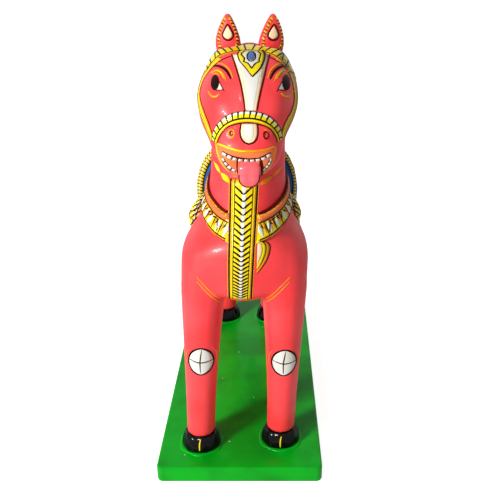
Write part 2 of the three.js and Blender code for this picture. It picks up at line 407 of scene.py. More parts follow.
# ---- Shader maths
class Value:
    """A socket whose arithmetic adds Math nodes."""

    def __init__(self, nodes, socket):
        self.nodes, self.socket = nodes, socket

    def maths(self, operation, *values):
        node = self.nodes.node("ShaderNodeMath", {"operation": operation}, *values)
        return Value(self.nodes, node.outputs[0])

    def __add__(self, other):
        return self.maths("ADD", self, other)

    def __mul__(self, other):
        return self.maths("MULTIPLY", self, other)

    def __sub__(self, other):
        return self.maths("SUBTRACT", self, other)

    def __rsub__(self, other):
        return self.maths("SUBTRACT", other, self)

    def above(self, low, high):
        """0 under low, 1 over high, and a smooth rise between."""
        node = self.nodes.node("ShaderNodeMapRange", {"interpolation_type": "SMOOTHSTEP"},
                               self, low, high, 0, 1)
        return Value(self.nodes, node.outputs[0])

    __radd__ = __add__
    __rmul__ = __mul__


class Nodes:
    """The nodes of a material or of the world."""

    def __init__(self, owner):
        owner.use_nodes = True
        self.tree = owner.node_tree

    def node(self, kind, settings=None, *values):
        made = self.tree.nodes.new(kind)
        for key, setting in (settings or {}).items():
            setattr(made, key, setting)
        for socket, value in zip(made.inputs, values):
            self.feed(socket, value)
        return made

    def feed(self, socket, value):
        if isinstance(value, Value):
            value = value.socket
        if isinstance(value, bpy.types.NodeSocket):
            self.tree.links.new(value, socket)
        elif value is not None:
            socket.default_value = value

    def mix(self, amount, first, second):
        made = self.node("ShaderNodeMix", {"data_type": "RGBA"})
        for name, value in (("Factor", amount), ("A", first), ("B", second)):
            self.feed(made.inputs[name], value)
        return made.outputs["Result"]

    def light_path(self, name):
        return Value(self, self.node("ShaderNodeLightPath").outputs[name])


class Paint(Nodes):
    """A node material with one Principled BSDF."""

    def __init__(self, name):
        self.material = bpy.data.materials.new(name)
        super().__init__(self.material)
        self.shader = self.tree.nodes["Principled BSDF"]
        self.places = self.node("ShaderNodeTexCoord").outputs["Object"]

    def noise(self, scale, detail=2.0, stretch=(1, 1, 1)):
        mapping = self.node("ShaderNodeMapping", {}, self.places)
        mapping.inputs["Scale"].default_value = stretch
        made = self.node("ShaderNodeTexNoise", {}, mapping.outputs[0], None, scale, detail)
        return Value(self, made.outputs["Fac"])

    def bump(self, height, distance, strength=0.4):
        made = self.node("ShaderNodeBump")
        made.inputs["Strength"].default_value = strength
        made.inputs["Distance"].default_value = distance * MM
        self.feed(made.inputs["Height"], height)
        self.feed(self.shader.inputs["Normal"], made.outputs[0])

    def set(self, **sockets):
        for name, value in sockets.items():
            self.feed(self.shader.inputs[name.replace("_", " ")], value)
        return self.material


def grey(level):
    return (level, level, level, 1)


def srgb(red, green, blue):
    """A colour given in the 0 to 255 steps of a paint chart."""
    def linear(step):
        part = step / 255
        return part / 12.92 if part <= 0.04045 else ((part + 0.055) / 1.055) ** 2.4
    return (linear(red), linear(green), linear(blue), 1)


# ---- Finishes
PATCH_SCALE, FINE_SCALE, GLOSS_SCALE = 35, 140, 90  # how close the enamel's unevenness lies


def enamel(name, colour, deep, roughness=0.35, shine=0.12, streak=60, coat=0.12):
    """Brushed gloss enamel, deeper in patches and along its brush marks."""
    paint = Paint(name)
    patches = paint.noise(PATCH_SCALE, 3).above(0.35, 0.7)
    strokes = paint.noise(streak, 3, (1, 1, 0.18))
    colours = paint.mix(patches * 0.6 + strokes * 0.25, srgb(*colour), srgb(*deep))
    paint.bump(strokes * 0.7 + paint.noise(FINE_SCALE, 2) * 0.3, 0.25, 0.25)
    gloss = paint.noise(GLOSS_SCALE, 3) * 0.14 + (roughness - 0.07)
    paint.set(Base_Color=colours, Roughness=gloss)
    return paint.set(Specular_IOR_Level=shine, Coat_Weight=coat, Coat_Roughness=0.12)


def timber(name, light, dark):
    """Bare turned wood with its grain along the pegs."""
    paint = Paint(name)
    grain = paint.noise(220, 4, (1, 1, 0.08)).above(0.35, 0.65)
    paint.bump(grain, 0.15, 0.3)
    return paint.set(Base_Color=paint.mix(grain, light, dark),
                     Roughness=grain * 0.15 + 0.6)


def metal(name, colour):
    """Drawn wire steel, a little dull in patches."""
    paint = Paint(name)
    dull = paint.noise(300, 3)
    paint.set(Base_Color=paint.mix(dull, colour, srgb(96, 92, 88)))
    return paint.set(Metallic=0.9, Roughness=dull * 0.25 + 0.25)


CORAL = enamel("coral_enamel", (240, 62, 66), (227, 38, 40), 0.46, 0.3)
GREEN = enamel("green_enamel", (0, 166, 26), (0, 118, 16), 0.34, 0.08, 40)
BLACK = enamel("black_enamel", (10, 9, 9), (4, 3, 4), 0.14, 0.1, coat=0.05)
INK = enamel("ink_enamel", (34, 10, 6), (18, 5, 4), shine=0.04, coat=0.02)
MAROON = enamel("maroon_enamel", (88, 5, 3), (56, 3, 2), shine=0.06, coat=0.04)
PINK = enamel("tongue_enamel", (232, 92, 98), (220, 68, 76), 0.24, 0.3)
YELLOW = enamel("yellow_enamel", (224, 206, 8), (212, 184, 4))
ORANGE = enamel("orange_enamel", (226, 144, 10), (214, 110, 4))
SALMON = enamel("salmon_enamel", (226, 118, 66), (218, 94, 48))
WHITE = enamel("white_enamel", (210, 208, 200), (202, 196, 184))
CREAM = enamel("cream_enamel", (230, 202, 160), (224, 186, 138))
BLUE = enamel("blue_enamel", (46, 102, 166), (30, 72, 126), 0.3, 0.16)
WOOD = timber("bare_wood", srgb(206, 168, 118), srgb(168, 124, 78))
STEEL = metal("nail_steel", srgb(168, 170, 172))

PAINTS = {
    "ink": (INK, "black_enamel"), "maroon": (MAROON, "maroon_enamel"),
    "yellow": (YELLOW, "yellow_enamel"), "orange": (ORANGE, "orange_enamel"),
    "white": (WHITE, "white_enamel"), "cream": (CREAM, "white_enamel"),
    "salmon": (SALMON, "orange_enamel"), "blue": (BLUE, "blue_enamel"),
    "green": (GREEN, "green_enamel"),
}

# ---- The carved horse
LEGS = ("front_left", "front_right", "hind_left", "hind_right")
CARVED = ["trunk", "neck", "head"] + [f"leg_{leg}" for leg in LEGS]

# Mounds and hollows of the face: place on the face, half width, half height, rise.
MOUNDS = [
    (19.5, 249, 8, 8, 1.1), (17, 236, 10, 10, 1.4), (16, 257, 9, 5, 0.6),
    (9.4, 222.3, 5, 4.5, 0.9), (9.4, 222.3, 2.2, 2, -1.1),
    (14, 229, 6, 4, -0.6),
]
MIDDLE_MOUNDS = [(-1, 205, 13, 5.5, -2.2), (-1, 198, 10, 4, 1.2), (-1, 214, 16, 3, 0.8)]


def falloff(x, z, half_width, half_height):
    """A soft mound: 1 in its middle and 0 from its edge on."""
    return max(0, 1 - (x / half_width) ** 2 - (z / half_height) ** 2) ** 1.5


def ridge(x, reach):
    """A keel with a rounded edge: 1 on the middle line and 0 at its reach."""
    soft = 2
    return max(0, 1 - math.hypot(x, soft) / reach)


CHIN_Z, JAW_Z, CHEEK_Z, BROW_CORNER_Z, THROAT_Z = 206, 221, 242, 263, 190
CHEEK_X, BROW_CORNER_X, THROAT_X = 16, 14, 14
SOFT = 8  # length over which a swelling fades in


def fuller(skin):
    """Round cheeks and brow corners, and a neck that is slimmer on the horse's right."""
    skin.normal_update()
    for vert in skin.verts:
        x, y, z = laid_out(vert.co)
        rise = 0
        if z > CHIN_Z:
            swell = 0.7 + 1.1 * falloff(0, z - CHEEK_Z, 1, 24)
            if x < 0:
                swell += 1.5 * falloff(0, z - JAW_Z, 1, 15) * share(-84 - y, SOFT)
            rise = swell * min(share(z - CHIN_Z, SOFT), share(abs(x), CHEEK_X))
        corner = 2.8 * falloff(max(0, abs(x) - BROW_CORNER_X), z - BROW_CORNER_Z, 14, 12)
        rise += corner * (0.2 + 0.8 * min(1, (x / CHEEK_X) ** 2)) * share(-52 - y, SOFT)
        trim = (2.1 if x < 0 else 0.8) * falloff(0, z - THROAT_Z, 1, 36)
        rise -= trim * share(abs(x), THROAT_X) * share(y + 100, SOFT)
        vert.co += vert.normal * rise * MM


FACE_FOOT = 192  # on the sheet, the face is above this height and the breast below


def carve(skin):
    """The finer carving of the front of the horse."""
    skin.normal_update()
    for vert in skin.verts:
        x, y, z = laid_out(vert.co)
        if y > -55 or vert.normal.y > -0.05:
            continue
        high = z - SHEET_DROP * (SHEET_Y - y)
        facing = min(1, -vert.normal.y * 2)
        if high > FACE_FOOT:
            side = x - turned(high)
            rise = sum(height * falloff(abs(side) - across, high - up, wide, tall)
                       for across, up, wide, tall, height in MOUNDS)
            rise += sum(height * falloff(side - across, high - up, wide, tall)
                        for across, up, wide, tall, height in MIDDLE_MOUNDS)
            rise += 1.6 * ridge(side, 20) * (share(high - 228, 10) * share(270 - high, 10))
        else:
            rise = 3.4 * ridge(x, 27) * share(high - 108, 14)
        vert.co += vert.normal * rise * facing * MM


def mouth_plug():
    """What fills the tongue's socket, so that the gums can be painted over it."""
    bm = node_copy("tongue")
    cut(bm, at(0, -122.9, 209), Vector((0, -1, -0.35)))
    bmesh.ops.holes_fill(bm, edges=bm.edges)
    inflate(bm, 0.5)
    return bm


def carved_skin():
    """Trunk, neck, head and legs as one carved skin."""
    bm = node_copy(*CARVED)
    join(bm, mouth_plug())
    inflate(bm, 0.22)
    skin = remeshed(bm, 1.2)
    smooth(skin, 50)
    soften(skin, 40, lambda x, y, z: z > 118)
    soften(skin, 90, lambda x, y, z: y < -60 and 122 < z < 200)
    fuller(skin)
    carve(skin)
    smooth(skin, 4)
    return skin


def soften(bm, rounds, inside):
    """Rounds off what a test on a place picks out."""
    smooth(bm, rounds, (0.5,), [vert for vert in bm.verts if inside(*laid_out(vert.co))])


skin = carved_skin()
horse = Surface(skin)


# ---- The painted face
face = PaintBox("face", horse, horse.face)

BLAZE_LEFT = [(-9.6, 265), (-6.6, 257), (-4.2, 249), (-2.6, 241), (-1.8, 234.6)]
BLAZE_RIGHT = [(11.8, 265), (9.8, 257), (7.8, 249), (5.9, 241), (4.6, 234.6)]


def paint_blaze():
    """The white blaze down the forehead, and its end below the nose band."""
    face.cream.fill(BLAZE_LEFT, BLAZE_RIGHT)
    face.white.fill([(x + 1.5, z) for x, z in BLAZE_LEFT],
                    [(x - 1.5, z) for x, z in BLAZE_RIGHT], BAND)
    for edge in (BLAZE_LEFT, BLAZE_RIGHT):
        face.maroon.draw(edge, 1)
    left = [(-4, 227.6), (-4.6, 223.6), (-4, 220.2), (-2.2, 217.9), (0.2, 217.1)]
    right = [(4.8, 227.6), (5.1, 223.6), (4.4, 220), (2.6, 217.9), (0.2, 217.1)]
    face.cream.fill(left, right, BAND)
    face.white.fill([(-2.5, 227.6), (-3, 223.4), (-2.2, 220.2), (0.2, 218.6)],
                    [(3, 227.6), (3.3, 223.4), (2.6, 220.2), (0.2, 218.6)], LINE)
    for edge in (left, right):
        face.maroon.draw(edge, fading(0.8, 1.3))


JEWEL_LINE = 0.6  # the jewel's outlines stand on its two fields
JEWEL_X = 1.3


def paint_jewel():
    """A white drop on a yellow one, with a blue stone."""
    def side(*points):
        return mirrored(points, 1, JEWEL_X)

    left = side((-6.2, 267.4), (-7.6, 265), (-6.2, 261), (-3.2, 257.6), (0.9, 252.4))
    right = side((6.6, 267.4), (7.8, 265), (7.2, 261), (5, 256.6), (0.9, 252.4))
    face.yellow.fill(left, right, LINE, across=8)
    face.ink.draw(right, 0.9, JEWEL_LINE)
    face.ink.draw(left, 0.5, JEWEL_LINE)
    left = side((-3.4, 266.8), (-5.6, 265), (-3.4, 262.4), (-4, 260.6), (-1.6, 259.8),
                (0.6, 256.9))
    right = side((3.8, 266.8), (5.4, 265), (4.6, 262), (4.6, 260.4), (2.6, 259.6), (0.6, 256.9))
    face.white.fill(left, right, TICK)
    face.ink.draw(left, 0.9, JEWEL_LINE)
    face.ink.draw(right, 0.9, JEWEL_LINE)
    face.ink.draw(oval(0.3 + JEWEL_X, 263.6, 4.8, 5.8), 1.2, JEWEL_LINE, closed=True)
    face.blue.spot((0.3 + JEWEL_X, 263.7), 4, 5, JEWEL_LINE)


def paint_eye(way, shift):
    """An eye with its lids and brow, on the horse's left (way 1) or right (way -1)."""
    def lid(*points):
        return mirrored(points, way, shift)

    face.white.fill(lid((18, 252.4), (16.6, 249.2), (15, 245.6)),
                    lid((18, 252.4), (19.6, 246.4), (15, 245.6)), 0.12)
    face.ink.spot((way * 19.6 + shift, 249.4), 5, 8.6, LINE)
    face.maroon.draw(lid((18.6, 253), (16.9, 249.4), (14.2, 244.6)), 0.5)
    face.maroon.draw(lid((19, 244.9), (17, 245.2), (14.8, 245.8)), 0.5)
    face.ink.draw(lid((10.6, 251.2), (12.6, 255), (15.4, 257.5), (18.8, 258.6), (21.4, 258.2)),
                  tapered(1.5, 0.5))
    face.orange.draw(lid((9.4, 251.8), (11.4, 256.4), (15, 259.3), (18.6, 260.2)),
                     tapered(1, 0.5))
    face.orange.draw(lid((14.2, 251.4), (15.8, 254.6), (18.8, 256.2), (22.6, 254.8)),
                     tapered(1.6, 0.6))
    face.yellow.draw(lid((14.5, 251.6), (16.1, 254.8), (18.9, 256.4)), petal(0.8), TICK)
    face.orange.draw(lid((13, 249.6), (14.4, 253.4), (16, 255.6)), petal(1))
    face.orange.draw(lid((16.6, 253), (18.8, 254.5), (21.4, 254)), petal(1.1))
    face.orange.draw(lid((16.6, 243.6), (19.2, 241.8), (21.6, 242.2), (23.8, 244.8)),
                     tapered(1.3, 0.5))
    face.yellow.draw(lid((17.6, 242.6), (19.4, 241.8), (21.4, 242.1)), petal(0.7), TICK)


CHEEK_LEFT = [(-10.2, 264), (-15.7, 261.4), (-21, 257.3), (-25.4, 251.8), (-27.6, 246.4),
              (-28, 242), (-26.8, 237), (-24.8, 232.6), (-22, 226.4), (-20, 221)]
CHEEK_RIGHT = [(10.6, 264), (15.4, 261.6), (20, 258.4), (23.2, 253.4), (24.9, 247),
               (25.4, 240), (23.8, 234.2), (21.6, 230.6), (19.4, 226.4), (17.8, 222)]


def paint_cheek_straps():
    """The straps from the brow band down to the nose band."""
    for points, way in ((CHEEK_LEFT, -1), (CHEEK_RIGHT, 1)):
        edge = face.maroon.path(points)
        face.maroon.line(edge, 1)
        side = edge[4:]
        face.orange.line(side, 1.3, BAND, way * 1.1)
        face.yellow.line(side, 4.4, FIELD, way * 3.8, across=6)
        for offset, width in ((3.6, 0.5), (6, 0.7)):
            face.ink.line(side, width, LINE, way * offset)
        face.orange.line(side, 1, BAND, way * 6.6)


BROW_BAND = [(-24.4, 255.6), (-20.7, 261), (-16.6, 264.4), (-10.8, 266.4), (-5.6, 267.3),
             (0, 267.6), (5.8, 267.2), (11.4, 265.9), (16.4, 263.4), (20.6, 259.4),
             (23.4, 254)]
NOSE_BAND = [(-19, 217.4), (-18, 220.4), (-15.8, 224.2), (-12.4, 227.3), (-8.4, 229.4),
             (-4, 230.4), (0.2, 230.6), (4.7, 230.1), (9.2, 228.6), (13.2, 225.7),
             (16, 221.6), (16.8, 218)]


def ticks(brush, places, count, low, high, width, slant=0.0, lift=TICK):
    """Short strokes across a band, from one offset to another."""
    for index in range(count):
        part = (index + 0.5) / count
        place = along(places, part)
        ahead = along(places, part + 0.02) - along(places, part - 0.02)
        normal = brush.surface.near(place)[1]
        side = normal.cross(ahead).normalized()
        drift = ahead.normalized() * slant
        start, end = place + side * low * MM, place + (side * high + drift) * MM
        steps = max(2, round(abs(high - low) / STEP))
        brush.line([start.lerp(end, step / steps) for step in range(steps + 1)], width, lift)


def paint_bands():
    """The brow band and the nose band."""
    brow = face.yellow.path(BROW_BAND)
    face.yellow.line(brow, 12, FIELD, 6.3, across=10)
    face.cream.line(brow, tapered(2.8, 0.1), BAND, 7.8, across=4)
    face.ink.line(brow, 0.6, LINE, 0.2)
    face.ink.line(brow, 1.4, LINE, 12.4)
    face.orange.line(brow, 1.3, BAND, -0.8)
    ticks(face.ink, brow, 16, 0.8, 12, fading(0.8, 1.4))
    nose = face.yellow.path(NOSE_BAND)
    face.yellow.line(nose, 3.9, FIELD, 2, across=4)
    face.white.line(nose, tapered(1.9, 0.2), BAND, 2.9)
    face.maroon.line(nose, 0.4, LINE, 3.9)
    ticks(face.ink, nose, 16, 0.3, 3.9, fading(0.6, 1.1), 0.6)
    face.ink.line(nose, 0.9, LINE, -0.1)
    face.yellow.line(nose, 1.7, BAND, -1.2)
    face.orange.line(nose, 0.5, LINE, -1.9)
    face.maroon.line(nose, 0.9, LINE, -2.5)


LIP_LINE = [(-18, 217), (-11.2, 215), (-5.4, 213.3), (-1, 213), (5.2, 213), (10.4, 213.9),
            (14.8, 215.4)]
LIP_EDGE = [(-18, 216.6), (-17.2, 211), (-14.6, 204.4), (-10, 198.8), (-2, 196), (5.4, 197.6),
            (10, 202.4), (13.4, 208.6), (14.8, 215)]
UPPER_TEETH = [(-14.6, 212.4), (-10.7, 210.3), (-6.4, 208.7), (-1, 208), (4, 208.3), (7.8, 209.5),
               (11.8, 211.8)]
LOWER_LEFT_TEETH = [(-14.9, 209.2), (-13.2, 206), (-10.7, 203.2), (-7.6, 201.2)]
LOWER_RIGHT_TEETH = [(12, 209), (11.3, 206.4), (9.4, 203.6), (7.4, 201.8)]


def teeth(points, count, gum, tooth, drop=0):
    """A row of teeth in a dark gum."""
    row = face.maroon.path(points, STEP / 2)
    face.maroon.line(row, tapered(gum, 0.5), BAND, across=4)
    for index in range(count):
        start, end = (index + 0.12) / count, (index + 0.86) / count
        middle = along(row, (start + end) / 2)
        size = tooth * (0.7 + 0.3 * math.sin(math.pi * (index + 0.5) / count))
        face.white.line([along(row, start), middle, along(row, end)], size, TICK, -drop)


def paint_muzzle():
    """Lips, teeth, nostrils, and dark lines beside the tongue that are partly outline and partly
    the tongue's painted shadow.
    """
    face.salmon.fill([(x, z - 0.2) for x, z in LIP_LINE], LIP_EDGE, across=12)
    face.orange.draw(LIP_LINE, tapered(1.8, 0.5), BAND)
    face.yellow.draw(LIP_LINE[:4], tapered(1.1, 0.4))
    face.orange.draw(LIP_EDGE, 2.2, BAND)
    face.yellow.draw(LIP_EDGE[:4], tapered(0.9, 0.4))
    teeth(UPPER_TEETH, 9, 3.4, 2.3, 0.5)
    teeth(LOWER_LEFT_TEETH, 4, 3.8, 2.2)
    teeth(LOWER_RIGHT_TEETH, 4, 3.2, 1.7)
    # Dark lines on the face beside the tongue: partly an outline, partly a painted shadow of the
    # tongue, so the line on the horse's left, where that shadow falls, is the wider one.
    face.maroon.draw([(-6.4, 208), (-6.8, 203), (-6, 198.4)], 0.9)
    face.maroon.draw([(6.2, 208.4), (7, 203), (6.6, 197.6)], 1.9)
    face.orange.draw(oval(-9.2, 222.6, 3.2, 4.2), 1, closed=True)
    face.maroon.draw(oval(-9.2, 222.6, 1.7, 2.7), 0.5, TICK, closed=True)
    face.maroon.draw(oval(9.5, 221.6, 2.8, 4), 0.9, closed=True)
    face.orange.draw([(8.2, 224.6), (9.6, 224.4), (10.8, 222.8)], petal(0.8))


paint_blaze()
paint_jewel()
paint_eye(-1, 1.1)
paint_eye(1, 1.3)
paint_cheek_straps()
paint_bands()
paint_muzzle()
face.done()


# ---- Breast collar
NECK_Y = -72  # the middle of the neck's foot
COLLAR_RADIUS = 31
HIGH_Y, LOW_Y = -99, -103  # the collar's upper and lower edge at its front
HIGH_TILT, LOW_TILT = Vector((0, -0.418, 0.908)), Vector((0, 0.339, -0.941))
CORD_RISE = 1.5


def collar_low(y):
    return 158.2 + 0.36 * (y - LOW_Y)


def collar_high(y):
    return 173.2 + 0.46 * (y - HIGH_Y)


def under_strap(x, y, reach):
    return abs(x + 1.2) < reach and y < -90


def collar_rise(x, y, z):
    """The collar swells softly from its edges, and most softly under the strap."""
    inside = max(0, min(collar_high(y) - z, z - collar_low(y)))
    if under_strap(x, y, 9):
        return min(1, 0.05 + inside / 4)
    return min(1, 0.4 + inside / 2)


def thickened(bm, outer, inner, rise=lambda x, y, z: 1):
    """Turns an open skin into a closed band that stands out from its old place."""
    inflate(bm, outer, rise=rise)
    inflate(bm, outer + inner, doubled(bm))
    return in_order(bm)


def collar_band(source):
    """The breast collar, cut out of the skin it lies on."""
    bm = source.copy()
    cut(bm, at(0, HIGH_Y, collar_high(HIGH_Y)), HIGH_TILT)
    cut(bm, at(0, LOW_Y, collar_low(LOW_Y)), LOW_TILT)
    keep_largest(bm)
    return thickened(bm, 1.9, 0.6, collar_rise)


def collar_cord(source):
    """A dark cord along the collar's upper edge, which dips under the strap."""
    bm = source.copy()
    cut(bm, at(0, HIGH_Y, collar_high(HIGH_Y) + 0.9), HIGH_TILT)
    cut(bm, at(0, HIGH_Y, collar_high(HIGH_Y) - 0.4), -HIGH_TILT)
    keep_largest(bm)
    return thickened(bm, CORD_RISE, 0.6, lambda x, y, z: -0.2 if under_strap(x, y, 8.9) else 1)


def ring(stroke, surface):
    """Carries places round the collar: along it from the front, and up it from -1 to 1."""
    places = []
    for along_ring, up in curve(stroke):
        turn = along_ring / COLLAR_RADIUS
        out = Vector((math.sin(turn), -math.cos(turn), 0))
        y = NECK_Y + COLLAR_RADIUS * out.y
        for _ in range(3):
            low, high = collar_low(y), collar_high(y)
            z = (low + high) / 2 + up * (high - low) / 2
            place = surface.cast(at(0, NECK_Y, z), -out)
            y = place.y / MM
        places.append(place)
    return places


# ---- The painted chest and legs
band = collar_band(skin)
dressed = skin.copy()
join(dressed, band.copy())
chest = PaintBox("chest", Surface(dressed))

STRAP_TOP, STRAP_FOOT = 193, 117.5
GARLAND_RIGHT = ((-20.4, 202, -15.6, 195.4, 2.6), (-15.8, 195.8, -9.4, 190.6, 3.6))
GARLAND_LEFT = ((8.6, 189.8, 16.2, 194.2, 3.4), (15.8, 193.8, 21.4, 199, 2.4))


def up_strap(z, rise=1):
    """A value that grows from 0 at the strap's foot to a rise at its top."""
    return rise * (z - STRAP_FOOT) / (STRAP_TOP - STRAP_FOOT)


def strap_half(z):
    return 6.7 + up_strap(z, 1.3)


def strap_middle(z):
    return -1.7 + up_strap(z, 0.8)


def paint_strap():
    """The chest strap: a white middle with chevrons, between two borders."""
    heights = [STRAP_TOP, 180, 168, 156, 144, 131, STRAP_FOOT]

    def line(part):
        return [(strap_middle(z) + part * strap_half(z), z) for z in heights]

    chest.yellow.fill(line(-0.98), line(0.98), BAND, across=12)
    chest.white.fill(line(-0.2), line(0.26), LINE, across=3)
    for way in (-1, 1):
        chest.ink.draw(line(way), 1.1, LINE)
        chest.ink.draw(line(way * 0.68), 1, LINE)
        chest.orange.draw(line(way * 0.84), 0.7, LINE)
        chest.orange.draw(line(way * 1.12), 0.6, BAND)
    z = STRAP_TOP - 4
    while z > STRAP_FOOT + 2:
        part = up_strap(z)
        half = strap_half(z) * 0.66
        drop = 2 + 2.8 * part
        for way in (-1, 1):
            chest.ink.draw([(strap_middle(z), z - drop), (strap_middle(z) + way * half, z)],
                           fading(1.7, 1), TICK)
        z -= 1.7 + 3.1 * part


def paint_shoulders():
    """The garland under the chin and the thin lines over the legs."""
    for garland, brush in ((GARLAND_RIGHT, chest.yellow), (GARLAND_LEFT, chest.orange)):
        for x, z, end_x, end_z, width in garland:
            brush.draw([(x, z), (end_x, end_z)], petal(width, 0.5), BAND, across=4)
    for way in (-1, 1):
        for low in (0, 3):
            chest.orange.draw(mirrored([(29, 132 - low), (22.9, 125.2 - low),
                                        (14.4, 115.8 - low)], way), tapered(0.8, 0.5), BAND)


def paint_pendant():
    """Crescents that hang beside the strap from the collar."""
    for reach, foot, brush in ((15.6, 136, chest.orange), (13.2, 139, chest.yellow),
                               (11, 142, chest.cream)):
        edge = [(8.4, 157), (reach - 0.6, 154.4), (reach, 150), (reach - 2, 144), (8.2, foot)]
        brush.fill([(8.2, 157), (8.2, 150), (8.2, foot)], edge,
                   FIELD + (15.6 - reach) * 0.03, across=4)
        chest.ink.draw(edge, tapered(0.7, 0.5), LINE)


def paint_knee(x, z):
    """A white knee disc with a cross."""
    chest.white.spot((x, z), 16, 19)
    chest.ink.draw(oval(x, z, 16.4, 19.6), 1.3, closed=True)
    chest.ink.draw([(x + 0.6, z + 9), (x - 0.4, z), (x - 0.2, z - 8.6)], tapered(0.9), TICK)
    chest.ink.draw([(x - 7.6, z + 1.4), (x - 0.4, z - 0.6), (x + 7.6, z + 0.6)], tapered(0.9),
                   TICK)
    for way in (-1, 1):
        chest.orange.draw([(x + way * 7.6, z + 9.4), (x + way * 9.8, z + 4),
                           (x + way * 9.6, z - 4)], petal(0.7))


paint_strap()
paint_shoulders()
paint_pendant()
paint_knee(-26.6, 72)
paint_knee(27.6, 70.2)
chest.done()


def paint_collar():
    """Leaves that hang round the collar between an orange and a yellow border."""
    wood = Surface(band)
    box = PaintBox("collar", wood)
    reach = round(math.pi * COLLAR_RADIUS)

    for brush, up, width, lift in ((box.orange, 0.84, 4.6, BAND), (box.salmon, 0.8, 3.4, LINE),
                                   (box.maroon, 0.48, 0.9, LINE), (box.orange, -0.8, 1.2, BAND),
                                   (box.maroon, -0.93, 1, LINE), (box.ink, -0.66, 0.8, LINE)):
        for start, end in ((-9.6, -reach), (7.8, reach)):
            stroke = [(start + (end - start) * step / 4, up) for step in range(5)]
            brush.line(ring(stroke, wood), width, lift)
    for way in (-1, 1):
        place = 7.6 if way > 0 else 9
        while place < reach - 4:
            lean = 5 if 20 < place < 60 else 2.4
            box.white.line(ring([(way * place, 0.42), (way * (place + lean), -0.66)], wood),
                           petal(3.6, 0.62), LINE, across=4)
            box.orange.line(ring([(way * (place + 2.6), 0.42), (way * (place + 2 + lean), -0.4)],
                                 wood), petal(1.4, 0.4), LINE)
            for shift, low in ((3.6, -0.66), (1.2, -0.1)):
                box.ink.line(ring([(way * (place + shift), 0.42),
                                   (way * (place + shift + lean * 0.4), 0.1),
                                   (way * (place + shift + lean * 0.95), low)], wood),
                             tapered(0.9, 0.3), TICK)
            place += 5.8
    box.done()


paint_collar()
piece("painted_breast_collar", band, YELLOW, "yellow_enamel", "breast_collar")
piece("collar_cord", collar_cord(skin), MAROON, "maroon_enamel")


# ---- Ears and tongue
def carved(node, voxel, rounds):
    """A node's own solid with its facets smoothed away."""
    bm = remeshed(node_copy(node), voxel)
    smooth(bm, rounds)
    return bm


def paint_ear(node, middle):
    """An ear with a cream leaf and a striped rim."""
    bm = carved(node, 0.7, 12)
    inflate(bm, 0.8)
    wood = Surface(bm)
    splay = math.copysign(0.05, middle)
    box = PaintBox(node, wood, lambda x, z: wood.front(middle + splay * (z - 268) + x, z))
    box.cream.fill([(0, 281.4), (-2.2, 278), (-2.6, 275.8), (0, 274.2)],
                   [(0, 281.4), (2.2, 278), (2.6, 275.8), (0, 274.2)], BAND)
    box.maroon.draw([(0, 282.4), (-2.2, 279), (-3.2, 276.4), (-2, 274.2), (0, 273.6), (2, 274.2),
                     (3.2, 276.4), (2.2, 279)], 1.1, closed=True)
    for way in (-1, 1):
        rim = [(way * 0.8, 287), (way * 3.2, 282.6), (way * 5, 277.6), (way * 5.6, 273),
               (way * 4.6, 269)]
        places = box.ink.path(rim)
        ticks(box.orange, places, 9, -1, 1.1, fading(1.2, 1.2), 0.6, BAND)
        ticks(box.yellow, places, 5, -0.8, 0.9, fading(0.7, 0.7), 0.6, LINE)
        ticks(box.ink, places[1:], 9, -1, 1, fading(0.6, 0.5), 0.6, TICK)
    box.done()
    piece(f"painted_{node}", bm, CORAL, "red_enamel", node)


paint_ear("ear_right", -12.4)
paint_ear("ear_left", 13.2)

TONGUE_TIP, TONGUE_X = 196, 2.6


def paint_tongue():
    """The tongue hangs from under the upper teeth, and is grooved."""
    bm = carved("tongue", 0.6, 26)
    for vert in bm.verts:
        x, y, z = laid_out(vert.co)
        drop = 0.12 * (z - TONGUE_TIP)
        groove = 0.4 * falloff(x - TONGUE_X, z - 203, 2.4, 9) if y < -122 else 0
        vert.co += Vector((0.08 * (x - TONGUE_X), groove - 1.5, -drop)) * MM
    wood = Surface(bm)
    box = PaintBox("tongue", wood, lambda x, z: wood.near(at(x + TONGUE_X, -128, z))[0])
    box.maroon.draw([(-7.6, 204), (-7.4, 199.6), (-5, 195.8), (0, 193.8), (5, 195.8),
                     (7.4, 199.6), (7.6, 204)], 0.8)
    box.done()
    piece("painted_tongue", bm, PINK, "pink_enamel", "tongue")


paint_tongue()


# ---- Hooves and board
def paint_hoof(leg):
    """A glossy hoof, and its middle in millimetres."""
    bm = carved(f"hoof_{leg}", 0.8, 8)
    low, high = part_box(f"hoof_{leg}")
    middle = (low + high) / 2 / MM
    for vert in bm.verts:  # a dome that narrows to the leg, uneven from the carver's knife
        x, y, z = vert.co / MM
        narrow = 0.1 * max(0, (z - BOARD_TOP - 2) / 9) ** 1.5
        vert.co.x -= narrow * (x - middle.x) * MM
        vert.co.y -= narrow * (y - middle.y) * MM
        if z > BOARD_TOP + 1:
            uneven = math.sin(x * 0.9 + y * 0.4) + math.sin(y * 0.8 - z * 0.5 + x * 0.3)
            vert.co += vert.normal * 0.22 * uneven * MM
    wood = Surface(bm)
    if leg.startswith("front"):
        box = PaintBox(f"hoof_{leg}", wood)
        x = middle.x - LEAN * 5
        box.yellow.draw([(x + 0.6, 9), (x, 5.5), (x + 0.2, 1)], tapered(1, 0.6))
        box.done()
    piece(f"painted_hoof_{leg}", bm, BLACK, "black_enamel", f"hoof_{leg}")
    return middle


PUDDLE_RADIUS = 14  # of the board's enamel round each hoof

# Specks of paint on the board: x, y and size.
SPECKS = [(-30, -60, 1), (-8, -98, 1.2), (18, -104, 0.9), (-18, -20, 0.8), (8, -46, 1),
          (34, -30, 0.8), (-38, -112, 0.9), (-6, 20, 1.1), (40, 30, 0.9), (14, 64, 1)]


